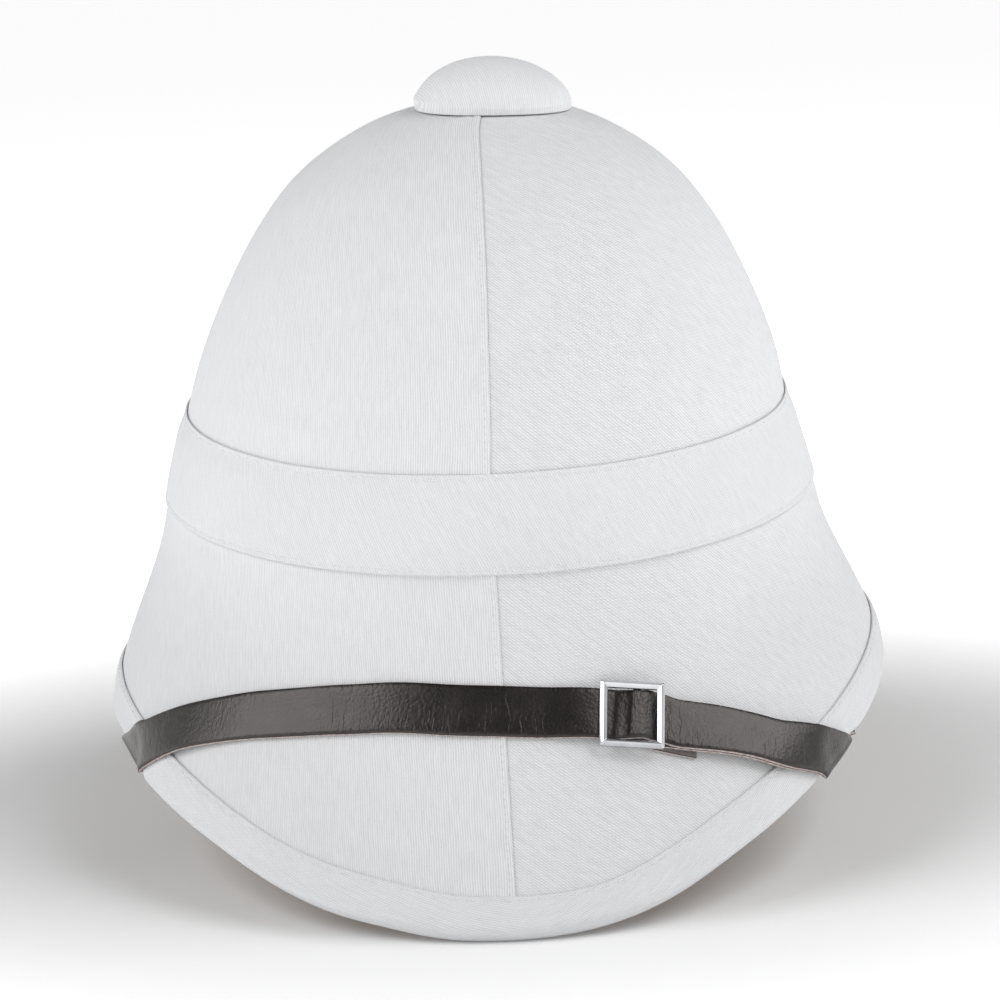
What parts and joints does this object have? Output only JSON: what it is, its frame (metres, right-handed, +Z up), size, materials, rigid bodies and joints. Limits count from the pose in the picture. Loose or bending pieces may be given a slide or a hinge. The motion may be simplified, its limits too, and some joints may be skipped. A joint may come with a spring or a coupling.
{
  "type": "pith helmet",
  "caption": "Pith sun helmet: cloth-covered hollow dome with a sloping brim, hat band, bound edge, top button and a leather chin strap worn over the front with a metal slide.",
  "frame": {"origin": "middle of the overall box in plan, on the surface the helmet rests on", "axes": "+Z up, -Y to the front peak, +X to the left-hand side of a wearer, the right-hand side of a viewer in front"},
  "size_m": [0.2402, 0.3642, 0.2325],
  "materials": {
    "shell": "pressed cork, matt",
    "cloth": "white cotton twill, matt",
    "leather": "black, finely grained, half gloss",
    "metal": "nickel plated, polished"
  },
  "bodies": {
    "root": {"shell": "shell", "cover_left": "cloth", "cover_right": "cloth", "hat_band": "cloth", "edge_binding": "cloth", "crown_button": "cloth", "chin_strap": "leather", "strap_return": "leather", "strap_buckle": "metal", "anchor_left": "metal", "anchor_right": "metal"}
  },
  "joints": []
}
